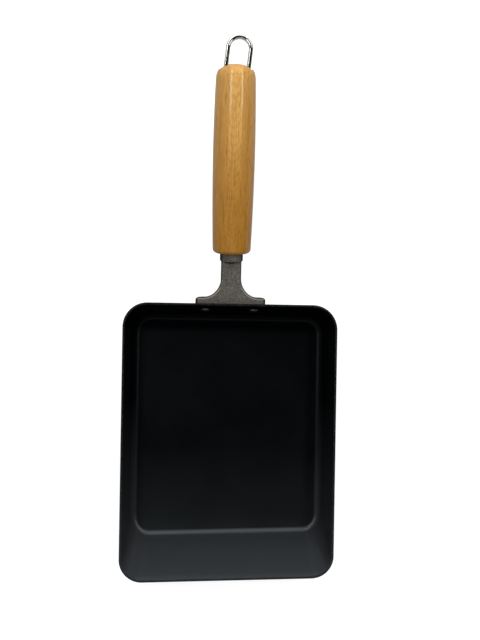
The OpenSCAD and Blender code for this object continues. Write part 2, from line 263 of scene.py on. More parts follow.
class Recipe:
    """A material that is laid out node by node."""

    def __init__(self, name: str) -> None:
        """Starts a material with one surface shader."""
        self.material = bpy.data.materials.new(name)
        self.material.use_nodes = True
        self.tree = self.material.node_tree
        self.tree.nodes.clear()
        self.shader = self.node("ShaderNodeBsdfPrincipled")
        output = self.node("ShaderNodeOutputMaterial")
        self.link(self.shader.outputs[0], output.inputs["Surface"])

    def node(self, kind: str, **values: object) -> bpy.types.Node:
        """Adds a node and sets its properties."""
        made = self.tree.nodes.new(kind)
        for key, value in values.items():
            setattr(made, key, value)
        return made

    def link(self, source: bpy.types.NodeSocket, target: bpy.types.NodeSocket) -> None:
        """Joins two sockets."""
        self.tree.links.new(source, target)

    def feed(self, socket: bpy.types.NodeSocket, value: object) -> None:
        """Links a socket to another one, or sets its value."""
        if isinstance(value, bpy.types.NodeSocket):
            self.link(value, socket)
        elif isinstance(value, tuple) and len(socket.default_value) == 4:
            socket.default_value = (*value, 1.0)
        else:
            socket.default_value = value

    def set(self, **values: object) -> None:
        """Sets or links inputs of the shader, by name with _ for a space."""
        for key, value in values.items():
            self.feed(self.shader.inputs[key.replace("_", " ")], value)

    def place(self, centre: Place = (0, 0, 0), tilt: float = 0.0,
              stretch: Place = (1, 1, 1)) -> bpy.types.NodeSocket:
        """Coordinates of the piece, centred, turned about x and stretched.

        Args:
            centre: point in millimetres that goes to the origin.
            tilt: angle in degrees that is turned back to level.
            stretch: scale along each axis after the turn.

        Returns:
            The vector socket.
        """
        coordinates = self.node("ShaderNodeTexCoord")
        centred = self.node("ShaderNodeMapping", vector_type="POINT")
        centred.inputs["Location"].default_value = [-v * MM for v in centre]
        turned = self.node("ShaderNodeMapping", vector_type="POINT")
        turned.inputs["Rotation"].default_value = (-math.radians(tilt), 0, 0)
        scaled = self.node("ShaderNodeMapping", vector_type="POINT")
        scaled.inputs["Scale"].default_value = stretch
        self.link(coordinates.outputs["Object"], centred.inputs["Vector"])
        self.link(centred.outputs[0], turned.inputs["Vector"])
        self.link(turned.outputs[0], scaled.inputs["Vector"])
        return scaled.outputs[0]

    def noise(self, vector: bpy.types.NodeSocket, scale: float, detail: float = 3.0,
              roughness: float = 0.5) -> bpy.types.NodeSocket:
        """Smooth noise from 0 to 1, with its scale in features to a metre."""
        made = self.node("ShaderNodeTexNoise")
        self.link(vector, made.inputs["Vector"])
        made.inputs["Scale"].default_value = scale
        made.inputs["Detail"].default_value = detail
        made.inputs["Roughness"].default_value = roughness
        return made.outputs["Fac"]

    def span(self, value: bpy.types.NodeSocket, low: float, high: float,
             to_low: float = 0.0, to_high: float = 1.0) -> bpy.types.NodeSocket:
        """Takes the span from low to high to another one, and clamps."""
        made = self.node("ShaderNodeMapRange", clamp=True)
        self.link(value, made.inputs["Value"])
        for name, number in (("From Min", low), ("From Max", high),
                             ("To Min", to_low), ("To Max", to_high)):
            made.inputs[name].default_value = number
        return made.outputs["Result"]

    def count(self, first: object, second: object, kind: str = "ADD") -> bpy.types.NodeSocket:
        """Two values put together in the way that a Math node names."""
        made = self.node("ShaderNodeMath", operation=kind)
        self.feed(made.inputs[0], first)
        self.feed(made.inputs[1], second)
        return made.outputs[0]

    def blend(self, share: object, first: object, second: object,
              kind: str = "MIX") -> bpy.types.NodeSocket:
        """Mixes two colours in the way that a Mix node names."""
        made = self.node("ShaderNodeMix", data_type="RGBA", blend_type=kind)
        self.feed(made.inputs["Factor"], share)
        self.feed(made.inputs[6], first)
        self.feed(made.inputs[7], second)
        return made.outputs[2]

    def axis(self, vector: bpy.types.NodeSocket, name: str) -> bpy.types.NodeSocket:
        """One coordinate of a vector, X, Y or Z."""
        made = self.node("ShaderNodeSeparateXYZ")
        self.link(vector, made.inputs[0])
        return made.outputs[name]

    def bump(self, height: bpy.types.NodeSocket, depth: float,
             under: bpy.types.NodeSocket | None = None) -> bpy.types.NodeSocket:
        """Relief of a height from 0 to 1, that deep in millimetres."""
        made = self.node("ShaderNodeBump")
        made.inputs["Strength"].default_value = 1.0
        made.inputs["Distance"].default_value = depth * MM
        self.link(height, made.inputs["Height"])
        if under is not None:
            self.link(under, made.inputs["Normal"])
        return made.outputs[0]


@dataclass(frozen=True)
class IronFinish:
    """Blue-black coated iron sheet, satin, rubbed a little along its rim.

    Attributes:
        dark: colour of the coat where it is thickest.
        light: colour of its paler clouds.
        painted_front_light: paler colour painted towards the pouring side, over the front of
            the floor, the front bend and the front wall, a painted reflection of the light
            behind the handle.
        worn: colour along the rim's edge.
        sheen: tint of its reflections.
        front_light_from: where the painted reflection begins, along the pan in millimetres.
        front_light_to: where it is full.
        shine: how strongly the coat reflects at the back and at the front, from 0 to 1.
        shine_from: where the coat begins to shine more, along the pan in millimetres.
        painted_wall_light: paler colour painted on the side walls towards the pouring side,
            standing in for light.
        wall_light_from: where that painted light begins and where it is full, along the pan.
        wall_light_share: how strong it is on the left wall and on the right wall.
        foot: paler colour painted along the start of the front bend, a painted highlight.
        bend_highlight_rise: heights over the floor between which the highlight is painted.
        bend_highlight_from: where the painted highlight begins and where it is full, along the
            pan.
        painted_back_shade: where the floor's reflection is cut down towards the handle, from
            full to least, as painted shade.
        floor: height of the floor in millimetres.
        rim: height of the rim in millimetres.
        edge: how far down the rubbed edge reaches, in millimetres.
        gloss: roughness of the coat.
        peel: depth of the coat's fine orange peel in millimetres.
    """

    dark: Colour = (0.0003, 0.0004, 0.0006)
    light: Colour = (0.0009, 0.0011, 0.0015)
    painted_front_light: Colour = (0.0060, 0.0066, 0.0078)
    worn: Colour = (0.016, 0.017, 0.018)
    sheen: Colour = (0.80, 0.92, 1.0)
    front_light_from: float = -67.0
    front_light_to: float = -88.0
    shine: tuple[float, float] = (0.085, 0.39)
    shine_from: float = -15.0
    painted_wall_light: Colour = (0.0235, 0.0245, 0.0270)
    wall_light_from: tuple[float, float] = (20.0, -90.0)
    wall_light_share: tuple[float, float] = (1.0, 0.72)
    foot: Colour = (0.037, 0.035, 0.033)
    bend_highlight_rise: tuple[float, float] = (0.02, 0.9)
    bend_highlight_from: tuple[float, float] = (-64.0, -75.0)
    painted_back_shade: tuple[float, float] = (66.5, 71.0)
    floor: float = 1.6
    rim: float = 33.0
    edge: float = 0.25
    gloss: float = 0.35
    peel: float = 0.02

    def material(self) -> bpy.types.Material:
        """Builds the material."""
        recipe = Recipe("coated_iron")
        place = recipe.place()
        clouds = recipe.noise(place, 26, 4, 0.55)
        peel = recipe.noise(place, 800, 2, 0.45)
        grain = recipe.noise(place, 2600, 2, 0.6)
        coat = recipe.blend(recipe.span(clouds, 0.35, 0.70), self.dark, self.light)
        height = recipe.axis(place, "Z")
        top = recipe.span(height, (self.rim - self.edge) * MM, self.rim * MM)
        rubbed = recipe.count(top, recipe.span(recipe.noise(place, 240, 3, 0.7), 0.35, 0.7),
                              "MULTIPLY")
        rough = recipe.count(recipe.span(clouds, 0.3, 0.7, self.gloss - 0.02,
                                         self.gloss + 0.02),
                             recipe.span(grain, 0.2, 0.8, -0.02, 0.02))
        along = recipe.axis(place, "Y")
        # painted reflection: the front of the floor, the front bend and the front wall are
        # painted paler
        coat = recipe.blend(recipe.span(along, self.front_light_from * MM, self.front_light_to * MM),
                            coat, self.painted_front_light)
        # painted highlight: paler just above the floor, where the bends still face up, at the
        # front of the pan
        low, high = self.bend_highlight_rise
        foot = recipe.count(
            recipe.span(height, (self.floor + low) * MM, (self.floor + low + 0.2) * MM),
            recipe.span(height, (self.floor + high) * MM, (self.floor + high - 0.4) * MM),
            "MULTIPLY")
        facing = recipe.node("ShaderNodeTexCoord").outputs["Normal"]
        aside = recipe.count(recipe.axis(facing, "X"), 0.0, "ABSOLUTE")
        # painted light: the side walls are painted paler towards the pouring side, more on the
        # left than on the right
        first, last = self.wall_light_from
        painted_wall_light = recipe.count(recipe.span(aside, 0.15, 0.5),
                             recipe.span(along, first * MM, last * MM), "MULTIPLY")
        by_side = recipe.span(recipe.axis(place, "X"), -0.06, 0.06, *self.wall_light_share)
        coat = recipe.blend(recipe.count(painted_wall_light, by_side, "MULTIPLY"), coat, self.painted_wall_light)
        foot = recipe.count(foot, recipe.span(recipe.axis(facing, "Z"), 0.2, 0.4), "MULTIPLY")
        first, last = self.bend_highlight_from
        foot = recipe.count(foot, recipe.span(along, first * MM, last * MM), "MULTIPLY")
        coat = recipe.blend(foot, coat, self.foot)
        shine = recipe.span(along, self.shine_from * MM, self.front_light_to * MM, *self.shine)
        # painted shade: the floor reflects less next to the back bend, standing in for the
        # shade of the back wall and the handle
        first, last = self.painted_back_shade
        bends = recipe.span(height, (self.floor + 0.02) * MM, (self.floor + 0.1) * MM)
        painted_back_shade = recipe.count(recipe.span(along, first * MM, last * MM, 1.0, 0.1), bends,
                            "MAXIMUM")
        shine = recipe.count(shine, painted_back_shade, "MULTIPLY")
        recipe.set(Base_Color=recipe.blend(rubbed, coat, self.worn), Roughness=rough,
                   Specular_IOR_Level=shine, Specular_Tint=self.sheen,
                   Normal=recipe.bump(grain, 0.006, recipe.bump(peel, self.peel)))
        return recipe.material


@dataclass(frozen=True)
class CastingFinish:
    """Raw grey casting, matt and grainy, darker in its pores, with painted shade and a painted
    highlight at its edges.

    Attributes:
        grey: main colour.
        pale: colour where it is rubbed.
        fleck: colour of the grains that catch the light, also used for a painted highlight
            along the hollows' edges.
        dark: colour of the pores.
        skin: tint multiplied in as painted shade along its sides and the hollows' edges, and as
            a painted shadow under the collar's front.
        sand: depth of the sand's grain in millimetres.
        handle: place of the handle, in whose direction the arm runs.
        top: height of the arm's top over the handle's axis, in millimetres.
        collar: place of the collar's front along the handle.
        collar_half: half width over which the collar stands above the arm.
        hollows: distance from the middle at which the hollows begin.
        hollow_r: radius of the hollows.
        wall: place of the rivets on the back wall, from which the hollows are set off.
        hollow_out: distance of the hollows' middles out of the wall.
    """

    handle: TiltedPlace
    top: float
    collar: float
    collar_half: float
    hollows: float
    hollow_r: float
    wall: TiltedPlace
    hollow_out: float
    grey: Colour = (0.079, 0.073, 0.065)
    pale: Colour = (0.105, 0.097, 0.086)
    fleck: Colour = (0.26, 0.245, 0.22)
    dark: Colour = (0.022, 0.020, 0.018)
    skin: Colour = (0.22, 0.22, 0.23)
    sand: float = 0.12

    def material(self) -> bpy.types.Material:
        """Builds the material."""
        recipe = Recipe("grey_casting")
        place = recipe.place()
        clouds = recipe.noise(place, 160, 4, 0.6)
        sand = recipe.noise(place, 1500, 3, 0.65)
        pits = recipe.noise(place, 700, 2, 0.5)
        body = recipe.blend(recipe.span(clouds, 0.3, 0.7), self.grey, self.pale)
        body = recipe.blend(recipe.span(sand, 0.54, 0.70, 0.0, 0.8), body, self.fleck)
        body = recipe.blend(recipe.span(sand, 0.48, 0.32, 0.0, 0.9), body, self.dark)
        arm = recipe.place((0.0, self.handle.y, self.handle.z), self.handle.tilt)
        aside = recipe.count(recipe.axis(arm, "X"), 0.0, "ABSOLUTE")
        height = recipe.axis(arm, "Z")

        def level(first: float, last: float) -> bpy.types.NodeSocket:
            """0 to 1 between two heights over the arm's top, in millimetres."""
            return recipe.span(height, (self.top + first) * MM, (self.top + last) * MM)

        from_wall = recipe.axis(recipe.place((0.0, self.wall.y, self.wall.z),
                                             self.wall.tilt), "Z")
        legs = [recipe.count(recipe.count(value, 0.0, "MAXIMUM"), 2.0, "POWER")
                for value in (recipe.count((self.hollows + self.hollow_r) * MM, aside,
                                           "SUBTRACT"),
                              recipe.count(from_wall, self.hollow_out * MM))]
        inwards = recipe.count(recipe.count(*legs), 0.5, "POWER")

        def within(first: float, last: float) -> bpy.types.NodeSocket:
            """0 to 1 between two distances in from the hollows' edge, in millimetres."""
            return recipe.span(inwards, (self.hollow_r + first) * MM,
                               (self.hollow_r + last) * MM)

        near = recipe.count(recipe.span(aside, (self.hollows + 0.1) * MM,
                                        (self.hollows + 0.8) * MM),
                            level(-1.6, -1.2), "MULTIPLY")
        # painted highlight: a pale line in the fleck colour, a millimetre or two from the
        # hollows' edges, near the arm's top
        rubbed = recipe.count(recipe.count(within(0.8, 1.1), within(1.9, 1.5), "MULTIPLY"),
                              near, "MULTIPLY")
        body = recipe.blend(recipe.count(rubbed, 0.75, "MULTIPLY"), body, self.fleck)
        # painted shade: darker just below the arm's top along the sides, less further down
        sides = recipe.count(level(-0.25, -0.75),
                             recipe.span(height, (self.top - 3.0) * MM,
                                         (self.top - 1.4) * MM, 0.3, 1.0), "MULTIPLY")
        # painted shadow: a crescent on the arm's top under the collar's overhanging front
        across = recipe.count(aside, 1 / (self.collar_half * MM), "MULTIPLY")
        before = recipe.span(recipe.axis(arm, "Y"), (self.collar - 1.9) * MM,
                             self.collar * MM)
        corner = recipe.count(before, recipe.count(across, across, "MULTIPLY"), "SUBTRACT")
        corner = recipe.count(recipe.span(corner, 0.05, 0.40), level(0.4, 0.1), "MULTIPLY")
        # painted shade and painted shadow, multiplied in with the skin tint
        edge = recipe.count(recipe.count(within(0.95, 0.6), near, "MULTIPLY"), sides, "MAXIMUM")
        body = recipe.blend(recipe.count(edge, corner, "MAXIMUM"), body, self.skin, "MULTIPLY")
        recipe.set(Base_Color=body, Roughness=recipe.span(sand, 0.3, 0.7, 0.62, 0.85),
                   Specular_IOR_Level=0.02,
                   Normal=recipe.bump(sand, self.sand, recipe.bump(pits, self.sand * 1.5)))
        return recipe.material


@dataclass(frozen=True)
class SteelFinish:
    """Bare or plated metal with fine scratches.

    Attributes:
        name: name of the material.
        colour: colour of the metal.
        shade: colour in its stains.
        gloss: roughness.
        scratch: depth of the scratches in millimetres.
        stain: how strongly the stains show, from 0 to 1.
        edge: brightness of its glancing reflections.
    """

    name: str
    colour: Colour
    shade: Colour
    gloss: float
    scratch: float
    stain: float = 0.6
    edge: float = 1.0

    def material(self) -> bpy.types.Material:
        """Builds the material."""
        recipe = Recipe(self.name)
        place = recipe.place()
        stains = recipe.noise(place, 320, 4, 0.6)
        lines = recipe.noise(recipe.place(stretch=(1, 9, 1)), 1400, 3, 0.6)
        body = recipe.blend(recipe.span(stains, 0.42, 0.72, 0.0, self.stain),
                            self.colour, self.shade)
        rough = recipe.count(recipe.span(stains, 0.3, 0.7, self.gloss, self.gloss * 1.25),
                             recipe.span(lines, 0.3, 0.7, 0.0, self.gloss * 0.3))
        recipe.set(Base_Color=body, Metallic=1.0, Roughness=rough,
                   Specular_Tint=(self.edge, self.edge, self.edge),
                   Normal=recipe.bump(lines, self.scratch))
        return recipe.material


@dataclass(frozen=True)
class BeechFinish:
    """Varnished beech: growth lines, short dark rays, a darker tone to the pan and a painted
    reflection along the top.

    The growth rings are cones about the tree's pith, which lies under the handle and
    goes deeper towards the free end, so they cut its top in narrow tongues.

    Attributes:
        handle: place of the handle.
        length: length of the handle in millimetres.
        pale: colour of the free end.
        deep: colour of the pan end.
        line: tint of the late growth.
        ray: tint of the short dark rays.
        painted_reflection: colour of a straight pale strip painted along the top, a painted
            reflection of the overhead lamps.
        reflection_from: where the painted strip begins across the handle, in millimetres.
        reflection_to: where it ends.
        pith: place of the pith at the pan end, as (x, z) in millimetres.
        pith_slope: degrees by which the pith goes down towards the free end.
        ring: distance between growth rings in millimetres.
    """

    handle: TiltedPlace
    length: float
    pale: Colour = (0.575, 0.318, 0.091)
    deep: Colour = (0.352, 0.161, 0.0225)
    line: Colour = (0.58, 0.48, 0.38)
    ray: Colour = (0.36, 0.27, 0.20)
    painted_reflection: Colour = (0.95, 0.60, 0.19)
    reflection_from: float = -4.4
    reflection_to: float = 4.8
    pith: tuple[float, float] = (2.0, -31.0)
    pith_slope: float = 5.7
    ring: float = 0.55

    def material(self) -> bpy.types.Material:
        """Builds the material."""
        recipe = Recipe("varnished_beech")
        centre, tilt = (0.0, self.handle.y, self.handle.z), self.handle.tilt
        place = recipe.place(centre, tilt)
        side = recipe.axis(place, "X")
        share = recipe.span(recipe.axis(place, "Y"), 0, self.length * MM)
        stretched = {name: recipe.place(centre, tilt, (1, squeeze, 1))
                     for name, squeeze in (("warp", 0.16), ("fibre", 0.04), ("ray", 0.11))}
        warp = recipe.noise(stretched["warp"], 60, 2, 0.4)
        fibre = recipe.noise(stretched["fibre"], 1500, 3, 0.6)
        streak = recipe.noise(stretched["fibre"], 420, 2, 0.5)
        rays = recipe.noise(stretched["ray"], 1700, 2, 0.5)

        below = self.handle.side_point(0.0, self.pith[1])
        growth = recipe.node("ShaderNodeTexWave", wave_type="RINGS", rings_direction="Y",
                             wave_profile="SIN")
        growth.inputs["Scale"].default_value = math.tau / (20 * self.ring * MM)
        growth.inputs["Distortion"].default_value = 3.0
        growth.inputs["Detail"].default_value = 2.0
        growth.inputs["Detail Scale"].default_value = 0.35
        recipe.link(recipe.place((self.pith[0], *below), tilt - self.pith_slope,
                                 (1, 0.15, 1)), growth.inputs["Vector"])

        body = recipe.blend(recipe.count(share, 1.3, "POWER"), self.deep, self.pale)
        # painted reflection: a pale strip along the top, rising from the middle towards the
        # free end
        left = recipe.span(side, (self.reflection_from - 0.6) * MM, (self.reflection_from + 0.6) * MM)
        right = recipe.span(side, (self.reflection_to + 0.6) * MM, (self.reflection_to - 0.6) * MM)
        painted_reflection = recipe.count(recipe.count(left, right, "MULTIPLY"),
                            recipe.span(share, 0.36, 0.66, 0.0, 0.20), "MULTIPLY")
        body = recipe.blend(painted_reflection, body, self.painted_reflection)
        late = recipe.count(recipe.span(growth.outputs["Fac"], 0.45, 1.0, 0.0, 0.26),
                            recipe.span(warp, 0.38, 0.66, 0.1, 1.0), "MULTIPLY")
        for marks, tint in ((late, self.line),
                            (recipe.span(fibre, 0.42, 0.64, 0.0, 0.42), self.line),
                            (recipe.span(streak, 0.58, 0.72, 0.0, 0.35), self.line),
                            (recipe.span(rays, 0.59, 0.68, 0.0, 0.42), self.ray)):
            body = recipe.blend(marks, body, tint, "MULTIPLY")
        recipe.set(Base_Color=body, Roughness=recipe.span(fibre, 0.3, 0.7, 0.40, 0.52),
                   Specular_IOR_Level=0.0, Coat_Weight=0.42, Coat_Roughness=0.10,
                   Coat_IOR=1.5, Normal=recipe.bump(fibre, 0.005))
        return recipe.material


def dress(piece: bpy.types.Object, material: bpy.types.Material) -> None:
    """Gives a piece one material."""
    piece.data.materials.clear()
    piece.data.materials.append(material)


# Pan


@dataclass
class PanShell:
    """The pressed iron pan: base, bends, four sloped walls and rim.

    Attributes: sizes in millimetres, as named in the part's source.
    """

    base_l: float = 150.0
    base_w: float = 127.5
    side_reach: float = 12.25
    back_reach: float = 13.0
    front_reach: float = 33.0
    height: float = 33.0
    sheet: float = 1.6
    bend_r: float = 6.0
    base_corner_r: float = 8.5
    rim_back_r: float = 17.5
    rim_front_r: float = 16.0
    front_skew: float = 1.8
    edge_r: float = 0.35
    corner_steps: int = 20
    side_steps: int = 24
    finish: IronFinish = field(default_factory=IronFinish)

    @property
    def outer_bend_r(self) -> float:
        """Radius of the bend on the pan's outside."""
        return self.bend_r + self.sheet

    @property
    def rim_back(self) -> float:
        """Place of the rim at the handle side."""
        return self.base_l / 2 + self.back_reach

    def lean(self, reach: np.ndarray | float) -> np.ndarray:
        """Angle of the wall from the floor: atan2(h - r, reach) + asin(r / norm)."""
        rise = self.height - self.outer_bend_r
        return np.arctan2(rise, reach) + np.arcsin(self.outer_bend_r
                                                   / np.hypot(rise, reach))

    def back_wall(self, at_height: float) -> TiltedPlace:
        """A place on the outside of the back wall, whose y axis runs up the wall."""
        lean = float(self.lean(self.back_reach))
        return TiltedPlace(self.rim_back - (self.height - at_height) / math.tan(lean),
                           at_height, math.degrees(lean))

    def directions(self) -> np.ndarray:
        """Outward direction at each place of the outlines, corners and sides in turn.

        The front edge is skewed, so its corners turn through 90 degrees plus or minus
        the skew.
        """
        spans = np.array([[0, 90], [90, 180], [180, 270 + self.front_skew],
                          [270 + self.front_skew, 360]])
        share = np.arange(self.corner_steps + 1) / self.corner_steps
        corners = spans[:, :1] + (spans[:, 1:] - spans[:, :1]) * share
        sides = np.repeat(spans[:, 1:], self.side_steps - 1, 1)
        turn = np.radians(np.concatenate([corners, sides], 1))
        return np.stack([np.cos(turn), np.sin(turn)], -1)

    def outline(self, half_w: float, back: float, front: float, back_r: float,
                front_r: float) -> np.ndarray:
        """Outline with rounded corners, anticlockwise from the right of the back.

        Args:
            half_w: half width.
            back: place of the back edge.
            front: place of the front edge on the centre line.
            back_r: radius of the back corners.
            front_r: radius of the front corners.

        Returns:
            Array of shape (points, 2).
        """
        skew = math.radians(self.front_skew)

        def front_centre(side: Side) -> list[float]:
            """Centre of a front corner."""
            x = side.value * (half_w - front_r)
            return [x, front + x * math.tan(skew) + front_r / math.cos(skew)]

        centres = np.array([[half_w - back_r, back - back_r], [back_r - half_w, back - back_r],
                            front_centre(Side.LEFT), front_centre(Side.RIGHT)])
        radii = np.array([back_r, back_r, front_r, front_r])
        turned = self.directions()[:, :self.corner_steps + 1]
        corners = centres[:, None] + radii[:, None, None] * turned
        ahead = np.roll(corners, -1, axis=0)[:, :1]
        part = (np.arange(1, self.side_steps) / self.side_steps)[None, :, None]
        sides = corners[:, -1:] * (1 - part) + ahead * part
        return np.concatenate([corners, sides], 1).reshape(-1, 2)

    def rings(self) -> np.ndarray:
        """Rings from the middle of the underside over the rim to the middle of the floor.

        At each place of the outline the section is the base, a bend
        (r sin t, R - r cos t), the straight wall, the flat top of the rim with its two
        edges rounded, and the same back down on the inside. It stands square to the
        outline, and its wall slides along the outline on its way up, as far as the rim
        there lies aside of the base.
        """
        base = self.outline(self.base_w / 2, self.base_l / 2, -self.base_l / 2,
                            self.base_corner_r, self.base_corner_r)
        rim = self.outline(self.base_w / 2 + self.side_reach, self.rim_back,
                           -self.base_l / 2 - self.front_reach,
                           self.rim_back_r, self.rim_front_r)
        square = self.directions().reshape(-1, 2)
        reach = ((rim - base) * square).sum(1)
        aside = rim - base - reach[:, None] * square
        lean = self.lean(reach)
        big, small, edge = self.outer_bend_r, self.bend_r, self.edge_r
        bend = np.linspace(0, 1, 13)[:, None] * lean[None]
        outer_bend = np.stack([big * np.sin(bend), big - big * np.cos(bend)], -1)
        inner_bend = np.stack([small * np.sin(bend), big - small * np.cos(bend)], -1)

        quarter = np.linspace(0, 1, 5)[:, None]
        level = np.full_like(reach, self.height - edge)
        outer_x = reach - edge * (1 + np.cos(lean)) / np.sin(lean)
        inner_x = reach - (self.sheet - edge * (1 - np.cos(lean))) / np.sin(lean)
        outer_turn = (lean - math.pi / 2) * (1 - quarter) + math.pi / 2 * quarter
        inner_turn = math.pi / 2 + lean * quarter
        rim_round = np.concatenate([
            np.stack([x, level], -1) + edge * np.stack([np.cos(turn), np.sin(turn)], -1)
            for x, turn in ((outer_x, outer_turn), (inner_x, inner_turn))])

        up = (np.arange(1, 8) / 8)[:, None, None]
        outer_wall = outer_bend[-1] * (1 - up) + rim_round[0] * up
        inner_wall = rim_round[-1] * (1 - up) + inner_bend[-1] * up
        section = np.concatenate([outer_bend, outer_wall, rim_round, inner_wall,
                                  inner_bend[::-1]])
        slide = np.concatenate([np.zeros((len(outer_bend), 1, 1)), up,
                                np.ones((len(rim_round), 1, 1)), 1 - up,
                                np.zeros((len(inner_bend), 1, 1))])
        wall = np.concatenate([base + section[..., :1] * square + slide * aside,
                               section[..., 1:]], -1)
        shrink = np.linspace(0.08, 1, 12)[:-1, None, None]
        flat = base[None] * shrink
        under = np.concatenate([flat, np.zeros_like(flat[..., :1])], -1)
        floor = np.concatenate([flat[::-1], np.full_like(flat[..., :1], self.sheet)], -1)
        return np.concatenate([under, wall, floor])

    def build(self, holes: list[bpy.types.Mesh]) -> bpy.types.Object:
        """Builds the pan, with the rivets' holes cut out of its back wall."""
        sharp = 50.0
        piece = piece_of(skin("iron_pan", self.rings()), sharp)
        cut(piece, sharp, *holes)
        dress(piece, self.finish.material())
        return piece


# Bracket and rivets


@dataclass
class Rivets:
    """Two rivets that hold the flange on the back wall."""

    wall: TiltedPlace
    flange_w: float = 49.6
    inset: float = 7.3
    shank_d: float = 6.0
    outer_d: float = 8.6
    outer_h: float = 2.2
    inner_d: float = 8.0
    inner_h: float = 1.4
    clearance: float = 0.05
    edge: float = 0.16
    around: int = 48
    finish: SteelFinish = field(default_factory=lambda: SteelFinish(
        "rivet_steel", (0.34, 0.34, 0.335), (0.15, 0.148, 0.143), 0.18, 0.006))

    def on_wall(self, radii: np.ndarray, out: np.ndarray, side: Side) -> np.ndarray:
        """Rings of a turned shape about one rivet, advancing out of the pan."""
        x, y, z = np.moveaxis(along_z(circles(radii, self.around), out), -1, 0)
        centre = side.value * (self.flange_w / 2 - self.inset)
        return self.wall.to_frame(np.stack([centre + x, -y, -z], -1))

    def head(self, base: float, out: int, width: float,
             rise: float) -> tuple[np.ndarray, np.ndarray]:
        """Section of a domed head: the low sphere through its edge and its top.

        Args:
            base: place of the head's seat along the rivet.
            out: 1 for the outer head, -1 for the inner one.
            width: diameter of the head.
            rise: height of the head.

        Returns:
            Radii and places, from the top to the edge.
        """
        half = width / 2
        sphere = (half ** 2 + rise ** 2) / (2 * rise)
        turn = arc(2, math.degrees(math.asin(min(1.0, half / sphere))) - 4, 10)
        radii = np.concatenate([sphere * np.sin(turn), [half - self.edge / 3, half, half]])
        heights = rise - sphere * (1 - np.cos(turn))
        heights = np.concatenate([heights, [self.edge, self.edge / 2, 0.0]])
        return radii, base + out * heights

    def hole(self, start: float, end: float, side: Side,
             width: float | None = None) -> bpy.types.Mesh:
        """Cutter about one rivet, as wide as its hole where no width is given."""
        half = (width or self.shank_d + 2 * self.clearance) / 2
        return skin("rivet_hole", self.on_wall(np.full(2, half), np.array([start, end]), side))

    def build(self, side: Side, sheet: float, flange_t: float) -> bpy.types.Object:
        """Builds one rivet, dressed.

        Args:
            side: the side that it is on.
            sheet: thickness of the pan's wall.
            flange_t: thickness of the flange.

        Returns:
            The rivet.
        """
        inner_r, inner_z = self.head(-sheet, -1, self.inner_d, self.inner_h)
        outer_r, outer_z = self.head(flange_t, 1, self.outer_d, self.outer_h)
        shank = np.full(2, self.shank_d / 2)
        radii = np.concatenate([inner_r, shank, outer_r[::-1]])
        along = np.concatenate([inner_z, [-sheet, flange_t], outer_z[::-1]])
        mesh = skin(f"rivet_{side.name.lower()}_side", self.on_wall(radii, along, side))
        piece = piece_of(mesh)
        dress(piece, self.finish.material())
        return piece


@dataclass(frozen=True)
class Section:
    """A rounded rectangle across the casting, square to the pan's centre plane.

    Attributes:
        top: its top on the centre plane, as (y, z).
        bottom: its bottom.
        half_w: half width.
        radius: corner radius.
    """

    top: np.ndarray
    bottom: np.ndarray
    half_w: float
    radius: float


